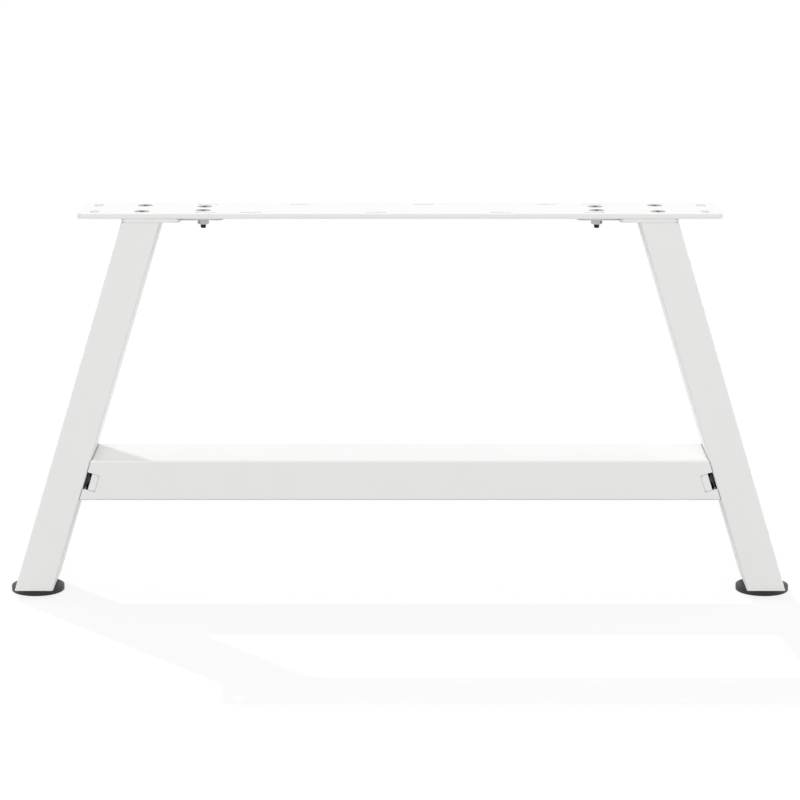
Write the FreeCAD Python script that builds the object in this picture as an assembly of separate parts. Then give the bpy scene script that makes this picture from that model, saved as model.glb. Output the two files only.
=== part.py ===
"""Trestle table leg: a white A-frame of rectangular steel tube with a drilled top plate.

Two legs lean inward to a flat top plate that a table top is screwed to. A crossbar ties
the legs together and is bolted to them from inside its own ends. Each leg stands on a
round pad on a threaded stud, which screws in and out to level the table.

Sizes are in millimetres. X runs along the frame, Y from front to back and Z upwards,
with the origin on the floor under the middle of the frame.
"""
import FreeCAD, Part
import math
import os
from FreeCAD import Vector

# Overall size
frame_width = 800.0          # across the outer corners of the two leg ends
frame_depth = 80.0           # front to back, the same for the legs, crossbar and plate
plate_top_z = 404.0          # the face that the table top rests on
leg_tilt = 17.0              # degrees that each leg leans inward

# Leg tube, cut level at both ends
leg_face = 38.0              # the narrow side of the tube, seen from the front
leg_wall = 1.5
leg_corner = 2.0

# Top plate
plate_overhang = 44.9        # beyond the leg's outer face, at each end
plate_thickness = 5.0
plate_corner = 8.0

# Welded flange on each leg top, with a narrower tongue towards the middle
flange_thickness = 4.0
flange_length = 59.6         # along the frame, from the leg's outer face
flange_corner = 6.0
tongue_reach = 42.5          # how far the tongue runs on from there
tongue_inset = 16.5          # how much narrower it is, on each side
tongue_corner = 6.0

# Bolts that hold the top plate on the flanges
plate_bolt_diameter = 6.0
plate_bolt_length = 18.0
plate_bolt_head = 15.6
plate_bolt_cone = 60.0       # degrees from the axis to the underside of the head
plate_bolt_key = 4.0
plate_bolt_key_depth = 2.4
leg_bolt_inset = 19.0        # over the leg, from the plate's front and back edges
tongue_bolt_inset = 26.5     # over the tongue, from the same edges
tongue_bolt_from_tip = 20.5
plate_nut_flats = 10.0
plate_nut_height = 5.0

# Slots in the top plate for wood screws
end_slot_from_end = 17.0     # slot centre from the plate's end
end_slot_inset = 18.0        # slot centre from the plate's front and back edges
end_slot_width = 9.0
end_slot_length = 17.0
long_slot_width = 8.0
long_slot_length = 22.0
long_slot_inset = 11.5       # slot centre from the plate's front and back edges
outer_slot_offset = 2.5      # from the tongue bolts towards the middle
near_slot_gap = 46.5         # from an outer slot to the first of the three between them
far_slot_gap = 95.5          # the same at the other end of the row

# Crossbar
bar_bottom_z = 106.2
bar_height = 42.0
bar_wall = 1.5
bar_corner = 2.0
window_width = 13.0          # from the leg, square to it
window_height = 18.5         # along the leg
window_corner = 1.0

# Folded bracket welded inside each end of the crossbar
bracket_thickness = 1.5
bracket_reach = 42.0
bracket_bend = 2.5
bracket_gap = 0.15           # between the bracket and the inside of the crossbar
bracket_notch = 7.0          # cut back from the windows towards the bolts
head_room = 0.6              # between a bolt head and the far edge of the notch

# Threaded inserts that are pressed into the closed leg tube for the crossbar bolts
insert_flange_diameter = 17.8
insert_flange_thickness = 1.2
insert_body_diameter = 11.0
insert_length = 15.0         # from the leg's face into the leg

# Bolts from the bracket into the inserts
bar_bolt_diameter = 8.0
bar_bolt_length = 16.0
bar_bolt_head = 17.2
bar_bolt_head_height = 2.0
bar_bolt_key = 5.0
bar_bolt_key_depth = 2.8
bar_bolt_inset = 15.0        # from the leg's front and back faces

# Levelling feet
foot_plate_thickness = 3.0
leg_end_z = 9.3              # underside of the leg above the floor
pad_diameter = 55.0
pad_height = 7.5
pad_top_diameter = 47.0
pad_shoulder = 5.8           # height where the side meets the sloping top
hub_diameter = 18.0          # raised ring on the pad, round the stud
hub_gap = 0.3                # from the hub to the leg when the stud is screwed right in
stud_diameter = 8.0
stud_top_z = 38.0
stud_head_diameter = 14.0
stud_head_height = 3.0
stud_head_z = 2.0            # underside of the head that the pad is moulded round
foot_nut_flats = 13.0
foot_nut_height = 6.5

# Fits
hole_clearance = 0.6         # a drilled hole over its bolt, across the diameter
thread_clearance = 0.1       # a threaded hole over its bolt or stud, across the diameter
insert_clearance = 0.1       # a hole in the leg over its insert, across the diameter
head_clearance = 0.2         # a countersink over its bolt head, across the diameter
pad_clearance = 0.1          # the pad over the stud's head and neck, on each side
edge_break = 0.5

# Worked out from the sizes above
tilt = math.radians(leg_tilt)
half_depth = frame_depth / 2
hexagon_ratio = math.cos(math.radians(30))   # across flats over across corners
plate_bottom_z = plate_top_z - plate_thickness
leg_top_z = plate_bottom_z - flange_thickness
leg_level_width = leg_face / math.cos(tilt)
leg_outer_top_x = frame_width / 2 - (leg_top_z - leg_end_z) * math.tan(tilt)
leg_top_center_x = leg_outer_top_x - leg_level_width / 2
foot_center_x = frame_width / 2 - leg_level_width / 2
flange_inner_x = leg_outer_top_x - flange_length
tongue_tip_x = flange_inner_x - tongue_reach
tongue_bolt_x = tongue_tip_x + tongue_bolt_from_tip
plate_end_x = leg_outer_top_x + plate_overhang
foot_plate_top_z = leg_end_z + foot_plate_thickness
bar_middle_z = bar_bottom_z + bar_height / 2
overrun = frame_depth        # extra length on a tube before its ends are cut
upward = Vector(0, 0, 1)
front_to_back = Vector(0, 1, 0)


def rounded_block(size_x, size_y, size_z, radius):
    """Block with its four upright edges rounded, its first corner at the origin."""
    block = Part.makeBox(size_x, size_y, size_z)
    upright = [edge for edge in block.Edges if abs(edge.tangentAt(0).z) > 0.5]
    return block.makeFillet(radius, upright)


def rectangular_tube(size_x, size_y, length, corner, wall):
    """Hollow rectangular tube that stands on the origin."""
    outside = rounded_block(size_x, size_y, length, corner)
    inside_corner = max(corner - wall, edge_break)
    inside = rounded_block(size_x - 2 * wall, size_y - 2 * wall, length, inside_corner)
    inside.translate(Vector(wall, wall, 0))
    return outside.cut(inside)


def cylinder(diameter, length, base):
    """Upright cylinder on the given base point."""
    return Part.makeCylinder(diameter / 2, length, base, upward)


def hexagon(across_flats, height, base):
    """Upright hexagonal prism with two corners along X."""
    corner_radius = across_flats / 2 / hexagon_ratio
    corners = []
    for corner in range(7):
        angle = math.radians(60 * corner)
        corners.append(base + Vector(math.cos(angle), math.sin(angle), 0) * corner_radius)
    return Part.Face(Part.makePolygon(corners)).extrude(upward * height)


def hex_nut(across_flats, height, thread, base):
    """Hexagon nut on the given base point."""
    return hexagon(across_flats, height, base).cut(cylinder(thread + thread_clearance, height, base))


def slot(length, width, along_y, center):
    """Round-ended slot cutter through the top plate."""
    straight = length - width
    depth = plate_thickness * 3
    body = Part.makeBox(straight, width, depth, Vector(-straight / 2, -width / 2, 0))
    for end in (-straight / 2, straight / 2):
        body = body.fuse(cylinder(width, depth, Vector(end, 0, 0)))
    if along_y:
        body.rotate(Vector(0, 0, 0), upward, 90)
    body.translate(center - upward * (depth / 2))
    return body.removeSplitter()


def mirrored(shape):
    """The same piece for the other side of the frame."""
    return shape.mirror(Vector(0, 0, 0), Vector(1, 0, 0))


def lean(shape):
    """Turn and move a piece from the left leg's own axes to its place in the frame.

    In the leg's own axes X is square to the outer face, Y runs from the front face to
    the back and Z along the leg, with the origin at the leg's outer corner on the front.
    """
    shape.rotate(Vector(0, 0, 0), front_to_back, leg_tilt)
    shape.translate(Vector(-frame_width / 2, -half_depth, leg_end_z))
    return shape


def level_slab(low_z, high_z):
    """Everything between two heights."""
    reach = frame_width * 2
    return Part.makeBox(reach, reach, high_z - low_z, Vector(-reach / 2, -reach / 2, low_z))


def beyond_left_leg(inset):
    """Everything outside a plane parallel to the left leg's inner face, set in from it."""
    reach = frame_width * 2
    block = Part.makeBox(reach, reach, reach, Vector(leg_face + inset - reach, -reach / 2, -reach / 2))
    return lean(block)


def bar_middle_along_leg():
    """Distance along the leg's own Z to the crossbar's middle, on the leg's inner face."""
    rise = bar_middle_z - leg_end_z
    return (rise + leg_face * math.sin(tilt)) / math.cos(tilt)


def bar_bolt_places():
    """Front and back bolt centres on the leg's inner face, in the leg's own axes."""
    along = bar_middle_along_leg()
    return [Vector(leg_face, bar_bolt_inset, along),
            Vector(leg_face, frame_depth - bar_bolt_inset, along)]


def square_to_leg(shape, place):
    """Stand an upright piece square on the leg's inner face, with its top to the middle."""
    shape.rotate(Vector(0, 0, 0), front_to_back, 90)
    shape.translate(place)
    return lean(shape)


def plate_bolt_places():
    """Centre of each plate bolt by its place, on the left side."""
    places = {}
    for row, side in (("front", -1), ("back", 1)):
        places["outer_" + row] = Vector(-leg_top_center_x, side * (half_depth - leg_bolt_inset), plate_top_z)
        places["inner_" + row] = Vector(-tongue_bolt_x, side * (half_depth - tongue_bolt_inset), plate_top_z)
    return places


def plate_bolt_head_shape(extra, top):
    """Flat countersunk head, or its seat when extra is the clearance across it."""
    wide = (plate_bolt_head + extra) / 2
    narrow = (plate_bolt_diameter + extra) / 2
    cone_height = (wide - narrow) / math.tan(math.radians(plate_bolt_cone))
    return Part.makeCone(narrow, wide, cone_height, top - upward * cone_height, upward)


def plate_bolt(top):
    """Countersunk bolt with a hexagon socket, its flat top at the given point."""
    shank = cylinder(plate_bolt_diameter, plate_bolt_length, top - upward * plate_bolt_length)
    socket = hexagon(plate_bolt_key, plate_bolt_key_depth, top - upward * plate_bolt_key_depth)
    return plate_bolt_head_shape(0.0, top).fuse(shank).removeSplitter().cut(socket)


def bar_bolt():
    """Low round-headed bolt, its head standing on the origin and its shank below."""
    head = cylinder(bar_bolt_head, bar_bolt_head_height, Vector(0, 0, 0))
    shank = cylinder(bar_bolt_diameter, bar_bolt_length, Vector(0, 0, -bar_bolt_length))
    socket_base = Vector(0, 0, bar_bolt_head_height - bar_bolt_key_depth)
    return head.fuse(shank).removeSplitter().cut(hexagon(bar_bolt_key, bar_bolt_key_depth, socket_base))


def bar_insert():
    """Threaded insert, its flange standing on the origin and its body below."""
    flange = cylinder(insert_flange_diameter, insert_flange_thickness, Vector(0, 0, 0))
    body = cylinder(insert_body_diameter, insert_length, Vector(0, 0, -insert_length))
    bore = cylinder(bar_bolt_diameter + thread_clearance, insert_length * 2, Vector(0, 0, -insert_length))
    return flange.fuse(body).removeSplitter().cut(bore)


def top_plate():
    """Flat plate with countersunk bolt holes and screw slots."""
    plate = rounded_block(plate_end_x * 2, frame_depth, plate_thickness, plate_corner)
    plate.translate(Vector(-plate_end_x, -half_depth, plate_bottom_z))
    middle = upward * (plate_top_z - plate_thickness / 2)
    cutters = []
    for place in plate_bolt_places().values():
        for center in (place, Vector(-place.x, place.y, place.z)):
            hole = cylinder(plate_bolt_diameter + hole_clearance, plate_thickness * 2,
                            center - upward * plate_thickness * 1.5)
            cutters.append(hole.fuse(plate_bolt_head_shape(head_clearance, center)))
    for side in (-1, 1):
        for x in long_slot_places(side):
            y = side * (half_depth - long_slot_inset)
            cutters.append(slot(long_slot_length, long_slot_width, False, middle + Vector(x, y, 0)))
        for end in (-1, 1):
            x = end * (plate_end_x - end_slot_from_end)
            y = side * (half_depth - end_slot_inset)
            cutters.append(slot(end_slot_length, end_slot_width, True, middle + Vector(x, y, 0)))
    return plate.cut(cutters)


def long_slot_places(side):
    """Centres along the frame of one row's five long slots; the rows are mirror images."""
    outer = tongue_bolt_x - outer_slot_offset
    first = outer - near_slot_gap
    last = outer - far_slot_gap
    return [side * x for x in (-outer, -last, (first - last) / 2, first, outer)]


def left_leg_tube():
    """Leaning tube, cut level at both ends, with holes for the threaded inserts."""
    length = (leg_top_z - leg_end_z) / math.cos(tilt) + 2 * overrun
    tube = rectangular_tube(leg_face, frame_depth, length, leg_corner, leg_wall)
    tube.translate(Vector(0, 0, -overrun))
    tube = lean(tube).common(level_slab(foot_plate_top_z, leg_top_z))
    for place in bar_bolt_places():
        hole = cylinder(insert_body_diameter + insert_clearance, leg_wall * 4, Vector(0, 0, -leg_wall * 2))
        tube = tube.cut(square_to_leg(hole, place))
    return tube


def left_foot_plate():
    """Plate that closes the lower end of the leg and carries the levelling nut."""
    block = rounded_block(leg_face, frame_depth, 4 * overrun, leg_corner)
    block.translate(Vector(0, 0, -2 * overrun))
    plate = lean(block).common(level_slab(leg_end_z, foot_plate_top_z))
    rim = [edge for edge in plate.Edges if edge.BoundBox.ZMax < leg_end_z + 0.01]
    plate = plate.makeChamfer(edge_break, rim)
    hole_base = Vector(-foot_center_x, 0, leg_end_z)
    return plate.cut(cylinder(stud_diameter + hole_clearance, foot_plate_thickness, hole_base))


def left_leg_flange():
    """Flat flange on the leg top, with a narrower tongue towards the middle."""
    wide = rounded_block(flange_length, frame_depth, flange_thickness, flange_corner)
    wide.translate(Vector(-leg_outer_top_x, -half_depth, leg_top_z))
    tongue_length = flange_length + tongue_reach - flange_corner
    tongue_width = frame_depth - 2 * tongue_inset
    tongue = rounded_block(tongue_length, tongue_width, flange_thickness, tongue_corner)
    tongue.translate(Vector(-tongue_tip_x - tongue_length, -tongue_width / 2, leg_top_z))
    flange = wide.fuse(tongue).removeSplitter()
    for place in plate_bolt_places().values():
        base = Vector(place.x, place.y, leg_top_z)
        flange = flange.cut(cylinder(plate_bolt_diameter + hole_clearance, flange_thickness, base))
    return flange


def bar_inside(gap):
    """Solid that fills the crossbar's bore, less a gap all round."""
    margin = bar_wall + gap
    length = frame_width + 2 * overrun
    corner = max(bar_corner - margin, edge_break)
    block = rounded_block(frame_depth - 2 * margin, bar_height - 2 * margin, length, corner)
    return along_bar(block, length, margin)


def along_bar(block, length, margin):
    """Lay an upright section along the crossbar, inset from its outside by a margin."""
    block.rotate(Vector(0, 0, 0), Vector(1, 1, 1), 120)
    block.translate(Vector(-length / 2, -half_depth + margin, bar_bottom_z + margin))
    return block


def crossbar():
    """Tube mitred to both legs, with a bolt window in its front and back wall at each end."""
    length = frame_width + 2 * overrun
    section = rectangular_tube(frame_depth, bar_height, length, bar_corner, bar_wall)
    bar = along_bar(section, length, 0.0)
    window = Part.makeBox(window_width * 2, frame_depth * 2, window_height)
    across = [edge for edge in window.Edges if abs(edge.tangentAt(0).y) > 0.5]
    window = window.makeFillet(window_corner, across)
    window_low = bar_middle_along_leg() - window_height / 2
    window.translate(Vector(leg_face - window_width, -half_depth, window_low))
    window = lean(window)
    for end in (beyond_left_leg(0.0), window):
        bar = bar.cut([end, mirrored(end)])
    return bar


def left_bar_bracket():
    """Folded bracket whose web lies on the inserts and whose flanges lie inside the crossbar."""
    margin = bar_wall + bracket_gap
    tall = bar_height * 3
    outside_depth = frame_depth - 2 * margin
    inside_depth = outside_depth - 2 * bracket_thickness
    outside = rounded_block(bracket_reach * 2, outside_depth, tall, bracket_bend + bracket_thickness)
    inside = rounded_block(bracket_reach * 4, inside_depth, tall, bracket_bend)
    inside.translate(Vector(bracket_thickness, bracket_thickness, 0))
    folded = outside.cut(inside)
    folded = folded.common(Part.makeBox(bracket_reach, frame_depth, tall))
    notch_reach = bracket_thickness + bar_bolt_head_height + head_room
    notch_low = (tall - window_height) / 2
    for y in (0, outside_depth - bracket_notch):
        notch = Part.makeBox(notch_reach, bracket_notch, window_height, Vector(0, y, notch_low))
        folded = folded.cut(notch)
    web_x = leg_face + insert_flange_thickness
    folded.translate(Vector(web_x, margin, bar_middle_along_leg() - tall / 2))
    bracket = lean(folded).common(bar_inside(bracket_gap))
    for place in bar_bolt_places():
        hole_base = Vector(0, 0, -bracket_thickness)
        hole = cylinder(bar_bolt_diameter + hole_clearance, bracket_thickness * 4, hole_base)
        bracket = bracket.cut(square_to_leg(hole, place))
    return bracket


def left_foot_stud():
    """Threaded stud with the round head that the pad is moulded on."""
    base = Vector(-foot_center_x, 0, stud_head_z)
    head = cylinder(stud_head_diameter, stud_head_height, base)
    shank = cylinder(stud_diameter, stud_top_z - stud_head_z, base)
    return head.fuse(shank).removeSplitter()


def left_foot_pad():
    """Round moulded pad, turned about the stud, with a pocket for the stud's head."""
    radius = pad_diameter / 2
    hub = hub_diameter / 2
    hub_top = leg_end_z - hub_gap
    neck = stud_diameter / 2 + pad_clearance
    pocket = stud_head_diameter / 2 + pad_clearance
    pocket_low = stud_head_z - pad_clearance
    pocket_high = stud_head_z + stud_head_height + pad_clearance
    outline = [(0, 0), (radius, 0), (radius, pad_shoulder), (pad_top_diameter / 2, pad_height),
               (hub, pad_height), (hub, hub_top), (neck, hub_top), (neck, pocket_high),
               (pocket, pocket_high), (pocket, pocket_low), (0, pocket_low), (0, 0)]
    profile = Part.Face(Part.makePolygon([Vector(r, 0, z) for r, z in outline]))
    pad = profile.revolve(Vector(0, 0, 0), upward, 360)
    if pad.Volume < 0:
        pad.reverse()
    pad.translate(Vector(-foot_center_x, 0, 0))
    return pad


def both_sides(pieces, name, left_shape):
    """Add the left piece and its mirror image."""
    pieces["left_" + name] = left_shape
    pieces["right_" + name] = mirrored(left_shape)


def frame_pieces():
    """Every separate piece by its name."""
    pieces = {"top_plate": top_plate(), "crossbar": crossbar()}
    both_sides(pieces, "leg_tube", left_leg_tube())
    both_sides(pieces, "leg_flange", left_leg_flange())
    both_sides(pieces, "foot_plate", left_foot_plate())
    both_sides(pieces, "bar_bracket", left_bar_bracket())
    for place_name, top in plate_bolt_places().items():
        nut_base = Vector(top.x, top.y, leg_top_z - plate_nut_height)
        nut = hex_nut(plate_nut_flats, plate_nut_height, plate_bolt_diameter, nut_base)
        both_sides(pieces, place_name + "_bolt", plate_bolt(top))
        both_sides(pieces, place_name + "_nut", nut)
    for row, place in zip(("front", "back"), bar_bolt_places()):
        seat = place + Vector(insert_flange_thickness + bracket_thickness, 0, 0)
        both_sides(pieces, "bar_" + row + "_bolt", square_to_leg(bar_bolt(), seat))
        both_sides(pieces, "bar_" + row + "_nut", square_to_leg(bar_insert(), place))
    foot_nut_base = Vector(-foot_center_x, 0, foot_plate_top_z)
    both_sides(pieces, "foot_nut", hex_nut(foot_nut_flats, foot_nut_height, stud_diameter, foot_nut_base))
    both_sides(pieces, "foot_stud", left_foot_stud())
    both_sides(pieces, "foot_pad", left_foot_pad())
    return pieces


os.makedirs("parts", exist_ok=True)
for name, shape in frame_pieces().items():
    if not shape.isValid() or len(shape.Solids) != 1:
        raise ValueError(f"{name} isn't one valid solid")
    shape.Solids[0].exportStep(f"parts/{name}.step")
    print(f"{name}: {shape.Volume / 1000:.2f} cm3")
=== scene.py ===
# %% [markdown]
# # A trestle table leg in white powder coat
#
# The object is a low A-shaped frame of rectangular steel tube. A slotted plate on top is
# screwed to a table, two legs lean inward to it, a crossbar ties them together, and each
# leg stands on a round levelling foot. The sizes and places of all the pieces come from
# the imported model, which is loaded first as a fixed frame. This file only dresses it: it
# softens the edges, adds threads, chamfers and weld beads, and gives each surface the
# finish that the real one has.

# %% Load the frame
import math

import bmesh
import bpy
from mathutils import Matrix, Vector


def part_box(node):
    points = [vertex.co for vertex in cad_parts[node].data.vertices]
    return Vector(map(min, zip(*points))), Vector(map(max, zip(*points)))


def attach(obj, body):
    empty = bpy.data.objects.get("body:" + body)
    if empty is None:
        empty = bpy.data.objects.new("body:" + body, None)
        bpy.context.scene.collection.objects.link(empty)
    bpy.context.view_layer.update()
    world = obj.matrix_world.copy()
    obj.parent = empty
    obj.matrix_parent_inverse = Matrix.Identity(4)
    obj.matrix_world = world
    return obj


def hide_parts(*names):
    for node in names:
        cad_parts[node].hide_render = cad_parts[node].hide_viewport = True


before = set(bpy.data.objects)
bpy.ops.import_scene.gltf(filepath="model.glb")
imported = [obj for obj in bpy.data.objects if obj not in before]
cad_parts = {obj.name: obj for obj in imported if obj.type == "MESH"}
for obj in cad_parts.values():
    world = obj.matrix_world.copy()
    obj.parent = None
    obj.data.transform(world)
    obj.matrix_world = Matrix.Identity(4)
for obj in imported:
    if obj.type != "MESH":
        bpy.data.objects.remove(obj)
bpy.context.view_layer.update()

MM = 0.001
SIDES = ("left", "right")
print("nodes in the frame:", len(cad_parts))

# %% [markdown]
# ## Colours
#
# A colour picked from a screen is an sRGB value, but a shader calculates with light,
# which is linear. One function turns the written hex value into the linear colour, so
# that every colour in this file can be read and checked in any paint program.


# %% From a hex value to a linear colour
def linear(hex_colour):
    """The linear RGBA colour of an sRGB hex value such as "#EDEDEA"."""
    channels = []
    for start in (1, 3, 5):
        value = int(hex_colour[start:start + 2], 16) / 255
        if value <= 0.04045:
            channels.append(value / 12.92)
        else:
            channels.append(((value + 0.055) / 1.055) ** 2.4)
    return (*channels, 1.0)


print("white powder coat, linear:", [round(c, 3) for c in linear("#F0F0EE")[:3]])

# %% [markdown]
# ## One helper for node trees
#
# Materials and Geometry Nodes are both trees of nodes. Writing each node as four or five
# lines hides what the tree does, so one small function makes a node, sets its values and
# links its inputs.


# %% Add a node
def add_node(tree, kind, settings=None, **inputs):
    """Add a node. Settings are its own properties; inputs are values or other nodes' sockets.

    An input is named by its socket with underscores for spaces, or by n and its number.
    """
    node = tree.nodes.new(kind)
    for name, value in (settings or {}).items():
        setattr(node, name, value)
    for name, value in inputs.items():
        if name[0] == "n" and name[1:].isdigit():
            socket = node.inputs[int(name[1:])]
        else:
            socket = node.inputs[name.replace("_", " ")]
        if isinstance(value, bpy.types.NodeSocket):
            tree.links.new(value, socket)
        else:
            socket.default_value = value
    return node


def new_material(name):
    """An empty node material, with its output node."""
    material = bpy.data.materials.new(name)
    material.use_nodes = True
    material.node_tree.nodes.clear()
    output = add_node(material.node_tree, "ShaderNodeOutputMaterial")
    return material, material.node_tree, output


# %% [markdown]
# ## White powder coat
#
# The frame is sprayed with a dry polyester powder that melts in an oven. The film flows
# almost smooth, but not quite: a shallow waviness stays, which is called orange peel,
# with waves about 2 mm long and a few micrometres high. A Principled shader with the
# index of refraction of a polymer, a half-gloss roughness and two noises as bump gives
# that. A third, slow noise varies the tone and the roughness a little, because the film
# isn't equally thick all over. The roughness stays above 0.28: on smoother pale faces the
# denoiser leaves faint rings. A picture of a coated sheet could be wrapped round each
# piece instead, but it would have to be unwrapped and would show seams. Noise on Object
# coordinates has none, and the same scale on every piece.
#
# An Ambient Occlusion node measures how open a spot is within a few millimetres, and the
# tight spots are painted grey. This is painted shade, and it draws the fine lines where two
# white pieces meet.


# %% Make the powder coat
def powder_coat(name, shade_strip=None):
    """Half-gloss white polyester powder coat with faint orange peel, painted shade in tight
    corners, and maybe a strip of painted shade.
    """
    material, tree, output = new_material(name)
    peel_wave = 2.2 * MM
    grain = 0.7 * MM
    film_patch = 45 * MM
    corner_reach = 3.0 * MM
    smoothest, roughest = 0.285, 0.35
    place = add_node(tree, "ShaderNodeTexCoord").outputs["Object"]
    peel = add_node(tree, "ShaderNodeTexNoise", Vector=place, Scale=1 / peel_wave, Detail=1.0)
    fine = add_node(tree, "ShaderNodeTexNoise", Vector=place, Scale=1 / grain, Detail=2.0)
    patch = add_node(tree, "ShaderNodeTexNoise", Vector=place, Scale=1 / film_patch, Detail=2.0)
    rough = add_node(tree, "ShaderNodeMapRange", Value=patch.outputs["Fac"],
                     n3=smoothest, n4=roughest)
    tone = add_node(tree, "ShaderNodeMix", {"data_type": "RGBA"}, n0=patch.outputs["Fac"],
                    n6=linear("#EEEEED"), n7=linear("#F1F1F0"))
    # Painted shade: where the Ambient Occlusion node finds a spot closed in, the colour turns
    # grey.
    openness = add_node(tree, "ShaderNodeAmbientOcclusion", {"samples": 8}, Distance=corner_reach)
    unshaded_share = add_node(tree, "ShaderNodeMapRange", Value=openness.outputs["AO"], n1=0.25, n2=0.8)
    coat = add_node(tree, "ShaderNodeMix", {"data_type": "RGBA"}, n0=unshaded_share.outputs["Result"],
                    n6=linear("#8C8C8B"), n7=tone.outputs[2])
    colour = coat.outputs[2]
    # Painted shade: a strip given by the caller lays dark grey over the coat's colour.
    if shade_strip:
        colour = shade_strip(tree, place, colour)
    wave = add_node(tree, "ShaderNodeBump", Strength=0.35, Distance=0.03 * MM,
                    Height=peel.outputs["Fac"])
    grit = add_node(tree, "ShaderNodeBump", Strength=0.25, Distance=0.01 * MM,
                    Height=fine.outputs["Fac"], Normal=wave.outputs["Normal"])
    shader = add_node(tree, "ShaderNodeBsdfPrincipled", Base_Color=colour,
                      Roughness=rough.outputs["Result"], IOR=1.5, Normal=grit.outputs["Normal"])
    tree.links.new(shader.outputs["BSDF"], output.inputs["Surface"])
    return material


white_coat = powder_coat("white_powder_coat")
print("material:", white_coat.name)

# %% [markdown]
# ## Zinc on the fasteners
#
# The bolts are steel with black zinc plating, which is a thin dark film that still shines
# like metal, under a clear seal that mirrors the surroundings at a flat angle. The nuts
# and the levelling studs have the common bright zinc plating, which is pale grey with a
# slight blue cast and a patchy, crystalline sheen. Both are metals, so the colour sits in
# the reflection. Plating grain is too fine to see, so it is drawn as patches of 1.5 to 3
# mm, and its finest marks as bumps of a quarter of a millimetre. The two differ only in
# colour, size of patch, roughness and seal, so one function makes both.


# %% Make the two platings
def plating(name, dark, light, grain, rough_low, rough_high, seal=0.0):
    """Plated steel: a metal whose colour and roughness vary in small patches, maybe sealed."""
    material, tree, output = new_material(name)
    mark = 0.25 * MM
    place = add_node(tree, "ShaderNodeTexCoord").outputs["Object"]
    patch = add_node(tree, "ShaderNodeTexNoise", Vector=place, Scale=1 / grain, Detail=4.0)
    marks = add_node(tree, "ShaderNodeTexNoise", Vector=place, Scale=1 / mark, Detail=2.0)
    tone = add_node(tree, "ShaderNodeMix", {"data_type": "RGBA"}, n0=patch.outputs["Fac"],
                    n6=linear(dark), n7=linear(light))
    rough = add_node(tree, "ShaderNodeMapRange", Value=patch.outputs["Fac"],
                     n3=rough_low, n4=rough_high)
    bump = add_node(tree, "ShaderNodeBump", Strength=0.2, Distance=0.01 * MM,
                    Height=marks.outputs["Fac"])
    shader = add_node(tree, "ShaderNodeBsdfPrincipled", Base_Color=tone.outputs[2], Metallic=1.0,
                      Roughness=rough.outputs["Result"], Normal=bump.outputs["Normal"],
                      Coat_Weight=seal, Coat_Roughness=0.15)
    tree.links.new(shader.outputs["BSDF"], output.inputs["Surface"])
    return material


black_zinc = plating("black_zinc", "#2A2A2D", "#3A3A3D", 1.5 * MM, 0.30, 0.42, seal=0.75)
bright_zinc = plating("bright_zinc", "#AEB1B5", "#C6C8CA", 3.0 * MM, 0.28, 0.44)
print("materials:", black_zinc.name, bright_zinc.name)

# %% [markdown]
# ## Moulded plastic of the pads
#
# The pads are black nylon or polypropylene from a spark-eroded mould. That leaves an
# even, fine grain, which breaks up the highlight and makes the black look slightly grey.
# The melt's flow leaves the tone a little cloudy. The grain could be modelled, but a bump
# a few hundredths of a millimetre high breaks the highlight just as well, without a face
# more.


# %% Make the plastic
def moulded_plastic():
    """Black moulded plastic with an eroded grain."""
    material, tree, output = new_material("black_plastic")
    grain = 0.5 * MM
    flow = 12 * MM
    place = add_node(tree, "ShaderNodeTexCoord").outputs["Object"]
    pits = add_node(tree, "ShaderNodeTexNoise", Vector=place, Scale=1 / grain, Detail=2.0)
    cloud = add_node(tree, "ShaderNodeTexNoise", Vector=place, Scale=1 / flow, Detail=2.0)
    tone = add_node(tree, "ShaderNodeMix", {"data_type": "RGBA"}, n0=cloud.outputs["Fac"],
                    n6=linear("#171718"), n7=linear("#202021"))
    rough = add_node(tree, "ShaderNodeMapRange", Value=pits.outputs["Fac"], n3=0.38, n4=0.52)
    bump = add_node(tree, "ShaderNodeBump", Strength=0.4, Distance=0.03 * MM,
                    Height=pits.outputs["Fac"])
    shader = add_node(tree, "ShaderNodeBsdfPrincipled", Base_Color=tone.outputs[2],
                      Roughness=rough.outputs["Result"], IOR=1.5, Normal=bump.outputs["Normal"])
    tree.links.new(shader.outputs["BSDF"], output.inputs["Surface"])
    return material


black_plastic = moulded_plastic()
print("material:", black_plastic.name)

# %% [markdown]
# ## Where the fasteners are
#
# Each fastener stands on the axis of its node. The axis of a turned piece runs through
# the middle of its points, and the points furthest along it give both ends. The crossbar
# bolts lie square to the legs, which lean by 17 degrees. The places could be typed in as
# numbers, but when they are read from the frame they stay right if its sizes change.


# %% Find the axis of a node
LEG_TILT = math.radians(17)


def axis_ends(node_name, direction):
    """The low and high end of a turned node's axis, along the given direction."""
    points = {tuple(round(c, 6) for c in v.co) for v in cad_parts[node_name].data.vertices}
    middle = sum((Vector(p) for p in points), Vector()) / len(points)
    along = [(Vector(p) - middle).dot(direction) for p in points]
    return middle + direction * min(along), middle + direction * max(along)


def bar_axis(side):
    """Direction of the crossbar bolts' heads on one side, square to the leg."""
    inward = 1 if side == "left" else -1
    return Vector((inward * math.cos(LEG_TILT), 0, -math.sin(LEG_TILT)))


def reach_about(node_name, direction):
    """The largest distance of a turned node's points from its axis."""
    low, high = axis_ends(node_name, direction)
    points = [v.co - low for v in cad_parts[node_name].data.vertices]
    return max((p - direction * p.dot(direction)).length for p in points)


UP = Vector((0, 0, 1))
for side in SIDES:
    low, high = axis_ends(f"{side}_bar_front_bolt", bar_axis(side))
    head_reach = reach_about(f"{side}_bar_front_bolt", bar_axis(side))
    print(side, "crossbar bolt in mm: length", round((high - low).length / MM, 2),
          "head radius", round(head_reach / MM, 2))

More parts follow.
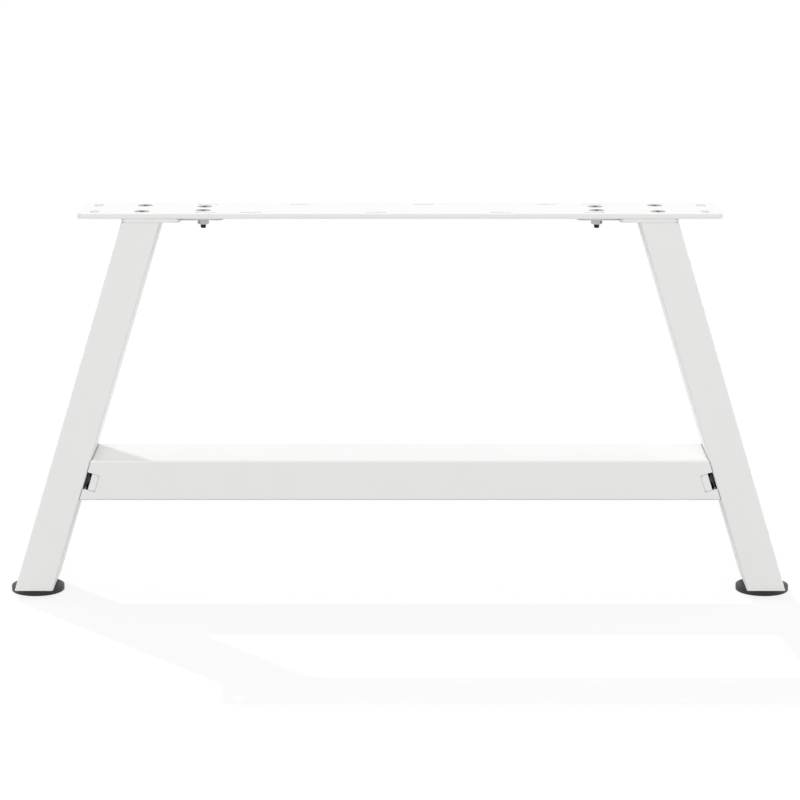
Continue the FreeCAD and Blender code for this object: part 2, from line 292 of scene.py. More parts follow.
# %% [markdown]
# ## The coated steel pieces
#
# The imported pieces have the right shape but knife-sharp edges, and their triangles are
# loose. On the real frame every laser-cut edge is tumbled, and the powder rounds it
# further. A Bevel node in the material could pretend that, but it only bends the light,
# and every outline would stay sharp. So each coated piece is a copy of its node: the
# loose triangles are merged, flat areas become single faces, and a Bevel modifier rounds
# the edges that are sharper than 35 degrees. How far it rounds an edge is set by a weight
# on the edge, because the outline of the top plate is rounded by 0.8 mm, and its holes by
# only a fifth of that. Weighted normals keep the flat faces evenly shaded, right up to
# their rounded edges. The copy then stands for the node.


# %% Two helpers for meshes
def finish_mesh(piece):
    """Apply the piece's modifiers, so that its mesh is final."""
    graph = bpy.context.evaluated_depsgraph_get()
    mesh = bpy.data.meshes.new_from_object(piece.evaluated_get(graph))
    piece.modifiers.clear()
    piece.data = mesh
    return piece


def smooth_within(mesh, degrees):
    """Shade smooth, with sharp edges kept where faces turn by more than the angle."""
    mesh.polygons.foreach_set("use_smooth", [True] * len(mesh.polygons))
    mesh.set_sharp_from_angle(angle=math.radians(degrees))


# %% Weigh the edges
SHARP_EDGE = 35


def weigh_edges(shape, hole_share):
    """Give full bevel weight to the outline's edges, and a share of it to those of holes."""
    weight = shape.edges.layers.float.new("bevel_weight_edge")
    low = [min(v.co[axis] for v in shape.verts) for axis in (0, 1)]
    high = [max(v.co[axis] for v in shape.verts) for axis in (0, 1)]
    margin = 3 * MM
    for edge in shape.edges:
        if len(edge.link_faces) == 2 and edge.calc_face_angle(0) > math.radians(SHARP_EDGE):
            inside = all(low[axis] + margin < v.co[axis] < high[axis] - margin
                         for v in edge.verts for axis in (0, 1))
            edge[weight] = hole_share if inside else 1.0


# %% Copy a node and soften its edges
def coated_piece(node_name, edge_round=0.25 * MM, hole_share=1.0, coat=white_coat):
    """A softened, powder-coated copy that stands for a node of the frame."""
    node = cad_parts[node_name]
    shape = bmesh.new()
    shape.from_mesh(node.data)
    bmesh.ops.remove_doubles(shape, verts=shape.verts, dist=0.002 * MM)
    bmesh.ops.dissolve_limit(shape, angle_limit=math.radians(0.5), verts=shape.verts,
                             edges=shape.edges)
    weigh_edges(shape, hole_share)
    mesh = bpy.data.meshes.new(node_name)
    shape.to_mesh(mesh)
    shape.free()
    piece = bpy.data.objects.new(node_name + "_coated", mesh)
    bpy.context.scene.collection.objects.link(piece)
    bevel = piece.modifiers.new("edges", "BEVEL")
    bevel.width = edge_round
    bevel.segments = 2
    bevel.limit_method = "WEIGHT"
    smooth_within(mesh, SHARP_EDGE)
    normals = piece.modifiers.new("normals", "WEIGHTED_NORMAL")
    normals.keep_sharp = True
    finish_mesh(piece)
    piece.data.materials.clear()
    piece.data.materials.append(coat)
    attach(piece, "frame")
    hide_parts(node_name)
    return piece


# %% [markdown]
# ## Painted shade on the strip of a bracket
#
# A folded bracket stands in each end of the crossbar, and its sheet is clamped between a
# bolt's head and an insert. The strip of it that shows between the two black discs is
# painted dark grey, as painted shade. A thin patch could be laid on the sheet, but two
# faces in one place flicker, so the material finds the strip with arithmetic. Absolute
# coordinates lay the left side on the right one. The distance from the middle of the
# sheet, measured once along the bolt and once along the leg, then has to be small in both
# directions.


# %% Mask the strip
BAR_HEAD_HEIGHT = 2.0 * MM
BRACKET_SHEET = 1.5 * MM


def painted_shade_strip(tree, place, colour):
    """Colour of a bracket: painted shade, dark grey, on the strip between a bolt's head and its
    insert; the given colour elsewhere.
    """
    along_bolt = bar_axis("right")
    along_leg = along_bolt.cross(Vector((0, 1, 0)))
    head_top = axis_ends("right_bar_front_bolt", along_bolt)[1]
    middle = head_top - along_bolt * (BAR_HEAD_HEIGHT + BRACKET_SHEET / 2)
    limits = ((along_bolt, BRACKET_SHEET / 2 + 0.05 * MM), (along_leg, 9.0 * MM))
    right_side = add_node(tree, "ShaderNodeVectorMath", {"operation": "ABSOLUTE"}, n0=place)
    local = add_node(tree, "ShaderNodeVectorMath", {"operation": "SUBTRACT"},
                     n0=right_side.outputs["Vector"], n1=(middle.x, 0, middle.z))
    near = []
    for direction, reach in limits:
        distance = add_node(tree, "ShaderNodeVectorMath", {"operation": "DOT_PRODUCT"},
                            n0=local.outputs["Vector"], n1=direction)
        near.append(add_node(tree, "ShaderNodeMath", {"operation": "COMPARE"},
                             n0=distance.outputs["Value"], n1=0.0, n2=reach))
    both = add_node(tree, "ShaderNodeMath", {"operation": "MULTIPLY"}, n0=near[0].outputs[0],
                    n1=near[1].outputs[0])
    # Painted shade: the strip between the head and the insert turns dark grey.
    mixed = add_node(tree, "ShaderNodeMix", {"data_type": "RGBA"}, n0=both.outputs[0], n6=colour,
                     n7=linear("#3C3C3E"))
    return mixed.outputs[2]


bracket_coat = powder_coat("white_powder_coat_shaded_strip", painted_shade_strip)
print("material:", bracket_coat.name)

# %% Make the coated pieces
coated_names = ["top_plate", "crossbar"]
for side in SIDES:
    for part_name in ("leg_tube", "leg_flange", "foot_plate", "bar_bracket"):
        coated_names.append(f"{side}_{part_name}")
for coated_name in coated_names:
    if coated_name == "top_plate":
        coated = coated_piece(coated_name, 0.8 * MM, hole_share=0.2)
    elif coated_name.endswith("flange"):
        coated = coated_piece(coated_name, 0.7 * MM)
    elif coated_name.endswith("bracket"):
        coated = coated_piece(coated_name, coat=bracket_coat)
    else:
        coated = coated_piece(coated_name)
    print(coated.name, "faces:", len(coated.data.polygons))

# %% [markdown]
# ## Turned pieces with hexagons in them
#
# Bolt heads, nuts and pads are turned shapes, and some of their rings are hexagons: the
# socket of a bolt or the flats of a nut. One function covers them all. It takes rows of a
# radius, a height and a shape, lays one ring of points for each row, and joins
# neighbouring rings with faces. A hexagonal ring has its radius worked out for each
# angle. A Screw modifier turns a profile too, but its rings are all round.


# %% Turn a profile
RING_POINTS = 72


def ring_radius(radius, shape, angle):
    """The radius at an angle; for a hexagon the given radius is half its width across flats."""
    if shape == "hexagon":
        sixth = math.radians(60)
        return radius / math.cos((angle % sixth) - sixth / 2)
    return radius


def turned_mesh(name, rows, points=RING_POINTS):
    """A closed mesh turned round Z from rows of (radius, height, shape), in metres."""
    shape = bmesh.new()
    rings = []
    for radius, height, outline in rows:
        if radius == 0:
            rings.append([shape.verts.new((0, 0, height))])
            continue
        ring = []
        for step in range(points):
            angle = 2 * math.pi * step / points
            reach = ring_radius(radius, outline, angle)
            ring.append(shape.verts.new((reach * math.cos(angle), reach * math.sin(angle),
                                         height)))
        rings.append(ring)
    for first, second in zip(rings, rings[1:]):
        for step in range(points):
            after = (step + 1) % points
            corners = [first[step % len(first)], first[after % len(first)],
                       second[after % len(second)], second[step % len(second)]]
            shape.faces.new(list(dict.fromkeys(corners)))
    if len(rings[0]) > 1:
        for step in range(points):
            after = (step + 1) % points
            shape.faces.new([rings[-1][step], rings[-1][after], rings[0][after],
                             rings[0][step]])
    bmesh.ops.recalc_face_normals(shape, faces=shape.faces)
    mesh = bpy.data.meshes.new(name)
    shape.to_mesh(mesh)
    shape.free()
    smooth_within(mesh, 28)
    return mesh


hexagon_corner = ring_radius(1.0, "hexagon", 0.0)
print("a hexagon's corner against half its width across flats:", round(hexagon_corner, 4))

# %% [markdown]
# ## Threads and repeated fasteners
#
# A thread is a ridge that winds round a core, and each kind of bolt is used several
# times. A bump in the material could stand for a thread, but the bolt ends under the
# plate are seen from the side, where a bump leaves the outline straight. So the ridge is
# real, and Geometry Nodes wind it and set the bolts out in one tree. A spiral curve
# carries a four-sided profile that stands on its corner: its inner half sinks into the
# core, and its outer half is the ridge. Set Curve Normal keeps it upright, as it would
# twist along the spiral otherwise. The ridge is joined to the bolt's body, and the result
# is set on every point of a small point mesh, turned by an attribute of the point. The
# tree ends in Realize Instances and Set Material, so that the result is a plain mesh.


# %% Build the tree that threads and sets out fasteners
def fastener_tree():
    """Tree that joins a body and a thread and sets them on the points of its own mesh."""
    tree = bpy.data.node_groups.new("threaded_fasteners", "GeometryNodeTree")
    tree.is_modifier = True
    interface = tree.interface
    interface.new_socket("Places", in_out="INPUT", socket_type="NodeSocketGeometry")
    interface.new_socket("Body", in_out="INPUT", socket_type="NodeSocketObject")
    interface.new_socket("Material", in_out="INPUT", socket_type="NodeSocketMaterial")
    for name in ("Thread radius", "Thread depth", "Pitch", "Thread start", "Turns"):
        interface.new_socket(name, in_out="INPUT", socket_type="NodeSocketFloat")
    interface.new_socket("Fasteners", in_out="OUTPUT", socket_type="NodeSocketGeometry")
    given = add_node(tree, "NodeGroupInput").outputs
    height = add_node(tree, "ShaderNodeMath", {"operation": "MULTIPLY"}, n0=given["Turns"],
                      n1=given["Pitch"])
    root = add_node(tree, "ShaderNodeMath", {"operation": "SUBTRACT"}, n0=given["Thread radius"],
                    n1=given["Thread depth"])
    helix = add_node(tree, "GeometryNodeCurveSpiral", Resolution=24, Rotations=given["Turns"],
                     Start_Radius=root.outputs[0], End_Radius=root.outputs[0],
                     Height=height.outputs[0])
    upright = add_node(tree, "GeometryNodeSetCurveNormal", {"mode": "Z_UP"},
                       Curve=helix.outputs["Curve"])
    profile = add_node(tree, "GeometryNodeCurvePrimitiveCircle", Resolution=4,
                       Radius=given["Thread depth"])
    ridge = add_node(tree, "GeometryNodeCurveToMesh", Curve=upright.outputs["Curve"],
                     Profile_Curve=profile.outputs["Curve"], Fill_Caps=True)
    lift = add_node(tree, "ShaderNodeCombineXYZ", Z=given["Thread start"])
    placed = add_node(tree, "GeometryNodeTransform", Geometry=ridge.outputs["Mesh"],
                      Translation=lift.outputs["Vector"])
    body = add_node(tree, "GeometryNodeObjectInfo", Object=given["Body"])
    joined = add_node(tree, "GeometryNodeJoinGeometry")
    tree.links.new(placed.outputs["Geometry"], joined.inputs[0])
    tree.links.new(body.outputs["Geometry"], joined.inputs[0])
    turn = add_node(tree, "GeometryNodeInputNamedAttribute", {"data_type": "FLOAT_VECTOR"},
                    Name="turn")
    angles = add_node(tree, "FunctionNodeEulerToRotation", Euler=turn.outputs["Attribute"])
    points = add_node(tree, "GeometryNodeMeshToPoints", Mesh=given["Places"])
    copies = add_node(tree, "GeometryNodeInstanceOnPoints", Points=points.outputs["Points"],
                      Instance=joined.outputs["Geometry"], Rotation=angles.outputs["Rotation"])
    real = add_node(tree, "GeometryNodeRealizeInstances", Geometry=copies.outputs["Instances"])
    painted = add_node(tree, "GeometryNodeSetMaterial", Geometry=real.outputs["Geometry"],
                       Material=given["Material"])
    add_node(tree, "NodeGroupOutput", n0=painted.outputs["Geometry"])
    return tree


threaded = fastener_tree()
print("tree:", threaded.name, "nodes:", len(threaded.nodes))


# %% Set out one kind of fastener
def place_fasteners(name, body_mesh, places, material, thread=(0.0, 0.0, 0.0, 0.0, 0.0)):
    """Copies of a fastener at places, each a point and a turn about Y, as one plain mesh."""
    points = bpy.data.meshes.new(name + "_places")
    points.from_pydata([tuple(point) for point, turn in places], [], [])
    turns = points.attributes.new("turn", "FLOAT_VECTOR", "POINT")
    for index, (point, turn) in enumerate(places):
        turns.data[index].vector = (0, turn, 0)
    piece = bpy.data.objects.new(name, points)
    bpy.context.scene.collection.objects.link(piece)
    body = bpy.data.objects.new(name + "_body", body_mesh)
    bpy.context.scene.collection.objects.link(body)
    modifier = piece.modifiers.new("fasteners", "NODES")
    modifier.node_group = threaded
    values = (body, material, *thread)
    sockets = [item for item in threaded.interface.items_tree if item.in_out == "INPUT"][1:]
    for socket, value in zip(sockets, values):
        modifier[socket.identifier] = value
    finish_mesh(piece)
    bpy.data.objects.remove(body)
    return piece


# %% [markdown]
# ## Plate bolts
#
# Eight countersunk bolts hold the plate on the flanges. Each has a flat head that lies
# flush with the plate, a hexagon socket with a chamfered mouth and a drill point at its
# bottom, a plain neck, and an M6 thread that ends below its nut. The head's rim is blunt
# by about a tenth of a millimetre, so it catches a thin line of light. The socket could
# be cut out with a Boolean, but as more rings of the same profile it keeps an even mesh.


# %% Measure the plate bolts
plate_bolt_nodes = [f"{side}_{place}_{row}_bolt" for side in SIDES for place in ("outer", "inner")
                    for row in ("front", "back")]
bolt_low, bolt_high = axis_ends(plate_bolt_nodes[0], UP)
bolt_length = bolt_high.z - bolt_low.z
head_low, head_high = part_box(plate_bolt_nodes[0])
head_radius = (head_high.x - head_low.x) / 2
m6_radius = 3.0 * MM
m6_pitch = 1.0 * MM
m6_depth = 0.5 * MM
cone_height = (head_radius - m6_radius) / math.tan(math.radians(60))
key_half = 2.0 * MM
key_depth = 2.4 * MM
drill_point = 0.8 * MM
rim = 0.12 * MM
m6_neck = 3.5 * MM
print("head radius in mm:", round(head_radius / MM, 2), "cone:", round(cone_height / MM, 2))

# %% Make the plate bolts
plate_bolt_rows = [
    (0, -key_depth - drill_point, "round"),
    (key_half * 0.8, -key_depth, "round"),
    (key_half, -key_depth, "hexagon"),
    (key_half, -rim, "hexagon"),
    (key_half + 0.45 * MM, 0, "round"),
    (head_radius - rim, 0, "round"),
    (head_radius, -rim * 0.6, "round"),
    (m6_radius, -cone_height, "round"),
    (m6_radius, -cone_height - m6_neck, "round"),
    (m6_radius - m6_depth, -cone_height - m6_neck - m6_depth, "round"),
    (m6_radius - m6_depth, -bolt_length + 0.3 * MM, "round"),
    (m6_radius - 1.6 * m6_depth, -bolt_length, "round"),
    (0, -bolt_length, "round"),
]
m6_turns = (bolt_length - cone_height - 5.0 * MM) / m6_pitch
m6_thread = (m6_radius, m6_depth, m6_pitch, -bolt_length + 0.6 * MM, m6_turns)
plate_bolt_places = [(axis_ends(node, UP)[1], 0.0) for node in plate_bolt_nodes]
plate_bolts = place_fasteners("plate_bolts", turned_mesh("plate_bolt", plate_bolt_rows),
                              plate_bolt_places, black_zinc, m6_thread)
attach(plate_bolts, "frame")
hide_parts(*plate_bolt_nodes)
print("plate bolts:", len(plate_bolt_places), "turns of thread:", round(m6_turns, 1))

# %% [markdown]
# ## Crossbar bolts and their threaded inserts
#
# The leg is a closed tube, so no spanner can hold a nut inside it at this height.
# Instead, a threaded insert is crimped into a hole in its inner wall: a flange stays
# outside and a collar swells inside. A flat-headed M8 bolt then clamps the crossbar's
# folded bracket on each insert. The flange and the head are the black shapes in the
# crossbar's windows. They lie square to the leg, so each is turned about Y by the leg's
# tilt and a quarter turn. That turn is kept with its place as an attribute, which is why
# one tree can set out both sides.


# %% Measure the crossbar bolts
bar_bolt_nodes = [f"{side}_bar_{row}_bolt" for side in SIDES for row in ("front", "back")]
insert_nodes = [node.replace("_bolt", "_nut") for node in bar_bolt_nodes]
cap_radius = reach_about(bar_bolt_nodes[0], bar_axis("left"))
m8_radius = 4.0 * MM
m8_pitch = 1.25 * MM
m8_depth = 0.6 * MM
m8_neck = 2.5 * MM
bar_key_half = 2.5 * MM
bar_key_depth = 2.8 * MM
bar_low, bar_high = axis_ends(bar_bolt_nodes[0], bar_axis("left"))
bar_length = (bar_high - bar_low).length
print("crossbar bolt length in mm:", round(bar_length / MM, 2))

# %% Shape the crossbar bolts
bar_bolt_rows = [
    (0, -bar_key_depth - drill_point, "round"),
    (bar_key_half * 0.8, -bar_key_depth, "round"),
    (bar_key_half, -bar_key_depth, "hexagon"),
    (bar_key_half, -0.3 * MM, "hexagon"),
    (bar_key_half + 0.6 * MM, 0, "round"),
    (cap_radius - 0.7 * MM, 0, "round"),
    (cap_radius - 0.2 * MM, -0.15 * MM, "round"),
    (cap_radius, -0.5 * MM, "round"),
    (cap_radius, -BAR_HEAD_HEIGHT + 0.15 * MM, "round"),
    (cap_radius - 0.15 * MM, -BAR_HEAD_HEIGHT, "round"),
    (m8_radius, -BAR_HEAD_HEIGHT, "round"),
    (m8_radius, -BAR_HEAD_HEIGHT - m8_neck, "round"),
    (m8_radius - m8_depth, -BAR_HEAD_HEIGHT - m8_neck - 0.5 * MM, "round"),
    (m8_radius - m8_depth, -bar_length + 0.6 * MM, "round"),
    (m8_radius - 2 * m8_depth, -bar_length, "round"),
    (0, -bar_length, "round"),
]
m8_turns = (bar_length - BAR_HEAD_HEIGHT - 5.0 * MM) / m8_pitch
m8_thread = (m8_radius, m8_depth, m8_pitch, -bar_length + 1.0 * MM, m8_turns)
print("turns of thread:", round(m8_turns, 1))

# %% Shape the inserts
insert_radius = reach_about(insert_nodes[0], bar_axis("left"))
insert_low, insert_high = axis_ends(insert_nodes[0], bar_axis("left"))
insert_length = (insert_high - insert_low).length
insert_bore = m8_radius + 0.05 * MM
flange = 1.2 * MM
leg_wall = 1.5 * MM
wall_end = flange + leg_wall
collar_end = wall_end + 3.5 * MM
body_radius = 5.5 * MM
collar_radius = 7.25 * MM
insert_rows = [
    (insert_bore, -0.4 * MM, "round"),
    (insert_bore + 0.4 * MM, 0, "round"),
    (insert_radius - 0.3 * MM, 0, "round"),
    (insert_radius, -0.3 * MM, "round"),
    (insert_radius, -flange + 0.15 * MM, "round"),
    (insert_radius - 0.15 * MM, -flange, "round"),
    (body_radius, -flange, "round"),
    (body_radius, -wall_end, "round"),
    (collar_radius - 0.5 * MM, -wall_end, "round"),
    (collar_radius, -wall_end - 0.8 * MM, "round"),
    (collar_radius, -collar_end + 1.4 * MM, "round"),
    (body_radius + 0.3 * MM, -collar_end, "round"),
    (body_radius, -collar_end, "round"),
    (body_radius, -insert_length + 0.4 * MM, "round"),
    (body_radius - 0.4 * MM, -insert_length, "round"),
    (insert_bore, -insert_length, "round"),
]
print("insert radius and length in mm:", round(insert_radius / MM, 2),
      round(insert_length / MM, 2))

# %% Set out the crossbar bolts and the inserts
bar_bolt_places = []
insert_places = []
for bolt_node, insert_node in zip(bar_bolt_nodes, insert_nodes):
    side = bolt_node.split("_")[0]
    turn = math.radians(90) + LEG_TILT if side == "left" else -math.radians(90) - LEG_TILT
    bar_bolt_places.append((axis_ends(bolt_node, bar_axis(side))[1], turn))
    insert_places.append((axis_ends(insert_node, bar_axis(side))[1], turn))
bar_bolts = place_fasteners("bar_bolts", turned_mesh("bar_bolt", bar_bolt_rows), bar_bolt_places,
                            black_zinc, m8_thread)
leg_inserts = place_fasteners("leg_inserts", turned_mesh("leg_insert", insert_rows), insert_places,
                              black_zinc)
for piece, nodes in ((bar_bolts, bar_bolt_nodes), (leg_inserts, insert_nodes)):
    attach(piece, "frame")
    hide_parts(*nodes)
print("crossbar bolts:", len(bar_bolt_places), "inserts:", len(insert_places))

# %% [markdown]
# ## Nuts
#
# A standard hexagon nut is cut from bar, and both its faces are chamfered at 30 degrees,
# so that each corner ends in a curved edge. In the rows of a turned piece this comes out
# by itself: a round ring just inside the flats, then a hexagonal ring a little further in
# from the face. The bore's mouth is countersunk too.


# %% Make the nuts
def nut_mesh(name, half_flats, height, thread_radius):
    """Hexagon nut standing on the origin, chamfered at both faces and at the bore."""
    chamfer = math.radians(30)
    corner_drop = half_flats * (1 / math.cos(math.radians(30)) - 1) * math.tan(chamfer)
    face_radius = half_flats * 0.97
    mouth = 0.35 * MM
    rows = [
        (thread_radius, mouth, "round"),
        (thread_radius + mouth, 0, "round"),
        (face_radius, 0, "round"),
        (half_flats, corner_drop, "hexagon"),
        (half_flats, height - corner_drop, "hexagon"),
        (face_radius, height, "round"),
        (thread_radius + mouth, height, "round"),
        (thread_radius, height - mouth, "round"),
    ]
    return turned_mesh(name, rows)


def make_nuts(name, nodes):
    """All nuts of one kind as one piece on the frame body."""
    low, high = axis_ends(nodes[0], UP)
    height = high.z - low.z
    low_box, high_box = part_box(nodes[0])
    half_flats = (high_box.y - low_box.y) / 2
    thread_radius = m6_radius if half_flats < 6 * MM else m8_radius
    places = [(axis_ends(node, UP)[0], 0.0) for node in nodes]
    nuts = place_fasteners(name, nut_mesh(name, half_flats, height, thread_radius), places,
                           bright_zinc)
    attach(nuts, "frame")
    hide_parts(*nodes)
    print(name, len(nodes), "across flats in mm:", round(2 * half_flats / MM, 2))
    return nuts


plate_nut_nodes = [node.replace("_bolt", "_nut") for node in plate_bolt_nodes]
foot_nut_nodes = [f"{side}_foot_nut" for side in SIDES]
plate_nuts = make_nuts("plate_nuts", plate_nut_nodes)
foot_nuts = make_nuts("foot_nuts", foot_nut_nodes)

# %% [markdown]
# ## Levelling feet
#
# Each foot is a threaded stud with a round head, and a plastic pad is moulded round that
# head. The stud rides on the body that goes up and down, and the pad on the body that
# turns. The pad is turned from a profile with small radii, as a mould has: a rounded
# foot, an upright side, a sloping shoulder and a raised ring round the stud. A modifier
# would give all these edges one radius, so each radius is a few points of the profile
# instead. The underside has a shallow round hollow, so that the pad doesn't rock on an
# uneven floor, and the mark of the mould's gate in the middle.


# %% The pad's profile
HOLLOW_RADIUS = 15.4 * MM
HOLLOW_DEPTH = 0.8 * MM
GATE_RADIUS = 2.0 * MM


def pad_rows(radius, shoulder, top_radius, top, hub_radius, hub_top, neck):
    """Rows of the pad from the middle of its underside to the bore round the stud."""
    soft = 0.6 * MM
    return [
        (0, 0.3 * MM, "round"),
        (GATE_RADIUS, 0.3 * MM, "round"),
        (GATE_RADIUS + soft, HOLLOW_DEPTH, "round"),
        (HOLLOW_RADIUS, HOLLOW_DEPTH, "round"),
        (HOLLOW_RADIUS + soft, 0, "round"),
        (radius - 1.1 * MM, 0, "round"),
        (radius - 0.45 * MM, 0.15 * MM, "round"),
        (radius - 0.1 * MM, 0.5 * MM, "round"),
        (radius, 1.1 * MM, "round"),
        (radius, shoulder - soft, "round"),
        (radius - soft * 0.25, shoulder - soft * 0.1, "round"),
        (radius - soft, shoulder + soft * 0.15, "round"),
        (top_radius + soft, top - soft * 0.25, "round"),
        (top_radius - soft, top, "round"),
        (hub_radius + soft * 0.6, top, "round"),
        (hub_radius, top + soft * 0.4, "round"),
        (hub_radius - soft * 0.3, hub_top, "round"),
        (neck, hub_top, "round"),
        (neck, 4.0 * MM, "round"),
        (0, 4.0 * MM, "round"),
    ]


# %% Make the studs and the pads
def make_foot(side):
    """The stud and the pad of one side, each on its own body."""
    stud_low, stud_high = axis_ends(f"{side}_foot_stud", UP)
    pad_low, pad_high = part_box(f"{side}_foot_pad")
    centre = Vector((stud_low.x, stud_low.y, 0))
    stud_length = stud_high.z - stud_low.z
    head = 3.0 * MM
    head_radius = 7.0 * MM
    blunt = 0.3 * MM
    stud_rows = [
        (0, 0, "round"),
        (head_radius - blunt, 0, "round"),
        (head_radius, blunt, "round"),
        (head_radius, head - blunt, "round"),
        (head_radius - blunt, head, "round"),
        (m8_radius, head, "round"),
        (m8_radius, head + 3.2 * MM, "round"),
        (m8_radius - m8_depth, head + 3.6 * MM, "round"),
        (m8_radius - m8_depth, stud_length - 0.8 * MM, "round"),
        (m8_radius - 2 * m8_depth, stud_length, "round"),
        (0, stud_length, "round"),
    ]
    turns = (stud_length - head - 5.6 * MM) / m8_pitch
    thread = (m8_radius, m8_depth, m8_pitch, head + 4.4 * MM, turns)
    stud = place_fasteners(f"{side}_stud", turned_mesh("stud", stud_rows), [(stud_low, 0.0)],
                           bright_zinc, thread)
    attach(stud, f"{side}_stud")
    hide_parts(f"{side}_foot_stud")
    rows = pad_rows(radius=(pad_high.x - pad_low.x) / 2, shoulder=5.8 * MM,
                    top_radius=23.5 * MM, top=7.5 * MM, hub_radius=9.0 * MM,
                    hub_top=pad_high.z, neck=m8_radius + 0.1 * MM)
    pad = bpy.data.objects.new(f"{side}_pad", turned_mesh("pad", rows, 96))
    pad.data.transform(Matrix.Translation(centre))
    pad.data.materials.append(black_plastic)
    bpy.context.scene.collection.objects.link(pad)
    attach(pad, f"{side}_pad")
    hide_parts(f"{side}_foot_pad")
    print(side, "stud turns of thread:", round(turns, 1), "pad across in mm:",
          round((pad_high.x - pad_low.x) / MM, 1))


for side in SIDES:
    make_foot(side)

# %% [markdown]
# ## Weld beads
#
# The leg is welded to the underside of its flange. A hand-made bead is a row of small
# overlapping puddles, about 1.6 mm apart, which the powder covers but doesn't hide. A
# plain rod along the corner would look like a moulding, so the tree below instead
# resamples a straight line at that spacing, sets a ball on each point, with most of it
# sunk in the corner, and varies its size a little with a fixed seed.


# %% Build the weld tree
def weld_tree():
    """Tree that sets overlapping puddles along the edges of its own mesh."""
    tree = bpy.data.node_groups.new("weld_bead", "GeometryNodeTree")
    tree.is_modifier = True
    interface = tree.interface
    interface.new_socket("Line", in_out="INPUT", socket_type="NodeSocketGeometry")
    interface.new_socket("Spacing", in_out="INPUT", socket_type="NodeSocketFloat")
    interface.new_socket("Throat", in_out="INPUT", socket_type="NodeSocketFloat")
    interface.new_socket("Seed", in_out="INPUT", socket_type="NodeSocketInt")
    interface.new_socket("Material", in_out="INPUT", socket_type="NodeSocketMaterial")
    interface.new_socket("Bead", in_out="OUTPUT", socket_type="NodeSocketGeometry")
    given = add_node(tree, "NodeGroupInput").outputs
    curve = add_node(tree, "GeometryNodeMeshToCurve", Mesh=given["Line"])
    steps = add_node(tree, "GeometryNodeResampleCurve", {"mode": "LENGTH"},
                     Curve=curve.outputs["Curve"], Length=given["Spacing"])
    puddle = add_node(tree, "GeometryNodeMeshIcoSphere", Radius=given["Throat"], Subdivisions=3)
    size = add_node(tree, "FunctionNodeRandomValue", {"data_type": "FLOAT_VECTOR"},
                    n0=(0.92, 1.0, 0.92), n1=(1.08, 1.25, 1.08), Seed=given["Seed"])
    copies = add_node(tree, "GeometryNodeInstanceOnPoints", Points=steps.outputs["Curve"],
                      Instance=puddle.outputs["Mesh"], Scale=size.outputs["Value"])
    real = add_node(tree, "GeometryNodeRealizeInstances", Geometry=copies.outputs["Instances"])
    smooth = add_node(tree, "GeometryNodeSetShadeSmooth", Geometry=real.outputs["Geometry"])
    painted = add_node(tree, "GeometryNodeSetMaterial", Geometry=smooth.outputs["Geometry"],
                       Material=given["Material"])
    add_node(tree, "NodeGroupOutput", n0=painted.outputs["Geometry"])
    return tree


welding = weld_tree()
print("tree:", welding.name, "nodes:", len(welding.nodes))


# %% Weld the legs to their flanges
PUDDLE_SPACING = 1.6 * MM
WELD_THROAT = 2.0 * MM


def weld_line(name, start, end, seed):
    """One bead along a straight line, on the frame body."""
    line = bpy.data.meshes.new(name)
    line.from_pydata([tuple(start), tuple(end)], [(0, 1)], [])
    bead = bpy.data.objects.new(name, line)
    bpy.context.scene.collection.objects.link(bead)
    modifier = bead.modifiers.new("weld", "NODES")
    modifier.node_group = welding
    sockets = [item for item in welding.interface.items_tree if item.in_out == "INPUT"][1:]
    for socket, value in zip(sockets, (PUDDLE_SPACING, WELD_THROAT, seed, white_coat)):
        modifier[socket.identifier] = value
    finish_mesh(bead)
    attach(bead, "frame")
    return bead


for seed, side in enumerate(SIDES):
    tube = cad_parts[f"{side}_leg_tube"].data
    tube_top = max(v.co.z for v in tube.vertices)
    inner_x = min(abs(v.co.x) for v in tube.vertices if v.co.z > tube_top - 0.01 * MM)
    outward = -1 if side == "left" else 1
    inner_corner = Vector((outward * inner_x, 0, tube_top))
    half_bead = 29 * MM
    reach = Vector((0, half_bead, 0))
    bead = weld_line(f"{side}_leg_weld", inner_corner - reach, inner_corner + reach, seed)
    print(bead.name, "faces:", len(bead.data.polygons))

# %% [markdown]
# ## Floor and light
#
# The photograph is a studio picture on white, in which hardly any shadow is left. A wide
# matt floor gives the white ground, and the world the white behind it. Only the camera
# and mirroring surfaces see them that white, which a Light Path node tells. For all other
# rays both are darker, because a white that bright would wash the pale frame out. Most of
# the floor's white glows and a fifth of it is lit, so a soft shadow stays.
#
# The world lights everything evenly. One lamp stands high behind on the left and draws
# the leg's shadow on the crossbar, one shines from the front, 20 degrees above the floor,
# and two shine from the sides and a little behind to brighten the legs' inner faces. The
# lamps don't show in mirroring surfaces, where they would clip the flat tops to white in
# some views.


# %% Tell the rays that see white
def white_rays(tree):
    """Socket that is 1 for rays from the camera, a mirroring or a clear surface, else 0."""
    rays = add_node(tree, "ShaderNodeLightPath").outputs
    mirrored = add_node(tree, "ShaderNodeMath", {"operation": "MAXIMUM"},
                        n0=rays["Is Glossy Ray"], n1=rays["Is Transmission Ray"])
    seen = add_node(tree, "ShaderNodeMath", {"operation": "MAXIMUM"},
                    n0=rays["Is Camera Ray"], n1=mirrored.outputs[0])
    return seen.outputs[0]


# %% Lay the floor
GLOWING_SHARE = 0.8


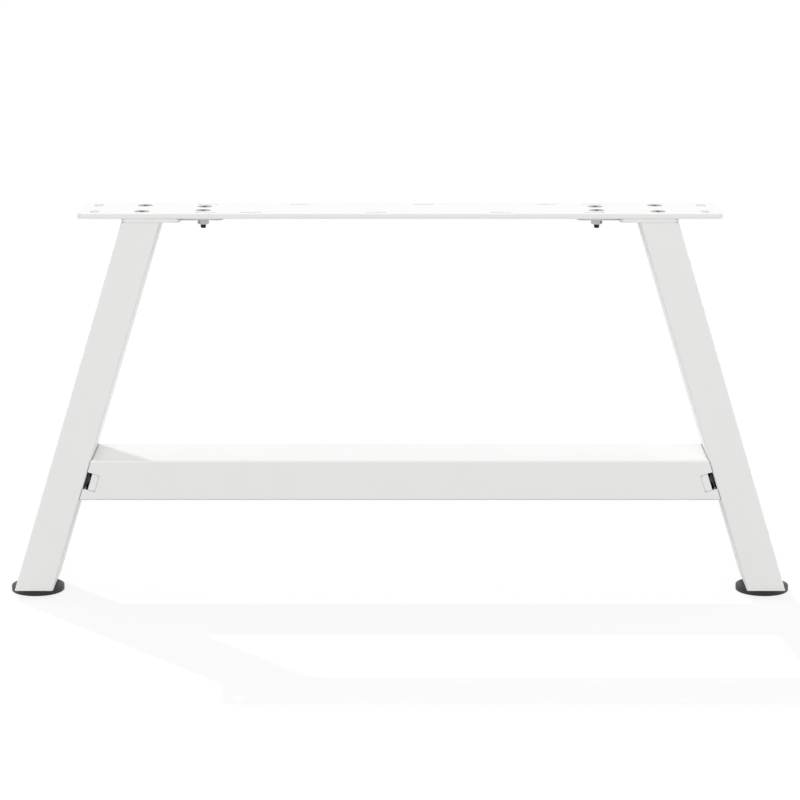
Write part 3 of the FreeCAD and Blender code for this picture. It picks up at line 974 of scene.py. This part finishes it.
def floor_material():
    """Matt floor: white to the camera and to mirrors, middle grey to all other rays."""
    material, tree, output = new_material("studio_floor")
    grey = add_node(tree, "ShaderNodeBsdfDiffuse", Color=linear("#9C9C9C"))
    white = add_node(tree, "ShaderNodeBsdfDiffuse", Color=linear("#FFFFFF"))
    glow = add_node(tree, "ShaderNodeEmission", Color=linear("#FFFFFF"), Strength=1.0)
    ground = add_node(tree, "ShaderNodeMixShader", n0=GLOWING_SHARE, n1=white.outputs[0],
                      n2=glow.outputs[0])
    shader = add_node(tree, "ShaderNodeMixShader", n0=white_rays(tree), n1=grey.outputs[0],
                      n2=ground.outputs[0])
    tree.links.new(shader.outputs[0], output.inputs["Surface"])
    return material


floor_reach = 30.0
floor_corners = [(x * floor_reach, y * floor_reach, 0)
                 for x, y in ((-1, -1), (1, -1), (1, 1), (-1, 1))]
floor_mesh = bpy.data.meshes.new("floor")
floor_mesh.from_pydata(floor_corners, [], [(0, 1, 2, 3)])
floor_mesh.materials.append(floor_material())
floor = bpy.data.objects.new("floor", floor_mesh)
bpy.context.scene.collection.objects.link(floor)
print("floor across in metres:", 2 * floor_reach)

# %% Light the studio from all around
FILL_LIGHT = 0.60
scene = bpy.context.scene
world = bpy.data.worlds.new("studio")
world.use_nodes = True
studio = world.node_tree
studio.nodes.clear()
brightness = add_node(studio, "ShaderNodeMapRange", Value=white_rays(studio), n3=FILL_LIGHT,
                      n4=1.0)
sky = add_node(studio, "ShaderNodeBackground", Color=linear("#FFFFFF"),
               Strength=brightness.outputs["Result"])
add_node(studio, "ShaderNodeOutputWorld", Surface=sky.outputs["Background"])
scene.world = world
print("world:", world.name)


# %% Set up the lamps
def aim(thing, target):
    """Turn a lamp so that it looks at the target."""
    thing.rotation_euler = (Vector(target) - thing.location).to_track_quat("-Z", "Y").to_euler()


def sun(name, direction, strength, spread):
    """A distant lamp that shines along a direction and stays out of mirroring surfaces."""
    lamp = bpy.data.lights.new(name, "SUN")
    lamp.energy = strength
    lamp.angle = math.radians(spread)
    thing = bpy.data.objects.new(name, lamp)
    scene.collection.objects.link(thing)
    aim(thing, direction)
    thing.visible_glossy = False
    return thing


lamps = [
    sun("key_lamp", (0.40, -0.88, -1.0), 1.28, 1.0),
    sun("front_lamp", (0.0, 1.0, -0.36), 1.36, 40.0),
    sun("left_lamp", (1.0, -0.45, 0.05), 1.8, 40.0),
    sun("right_lamp", (-1.0, -0.45, 0.05), 1.8, 40.0),
]
print("lamps:", [lamp.name for lamp in lamps])

# %% [markdown]
# ## Camera
#
# The view comes from the photograph's own perspective. The two rows of the plate's bolts,
# the plate's four corners and the ends of the legs fix the distance, the height and the
# pitch: a long lens, three metres in front of the frame, that looks 12 degrees down.


# %% Set up the camera
LOOK_DOWN = 12
camera_data = bpy.data.cameras.new("camera")
camera_data.sensor_width = 36.0
camera_data.lens = 134.43
camera = bpy.data.objects.new("camera", camera_data)
camera.location = (0, -3.0302, 0.8476)
camera.rotation_euler = (math.radians(90 - LOOK_DOWN), 0, 0)
scene.collection.objects.link(camera)
scene.camera = camera
scene.view_settings.view_transform = "Standard"
print("camera at", [round(c, 3) for c in camera.location], "lens", camera_data.lens)
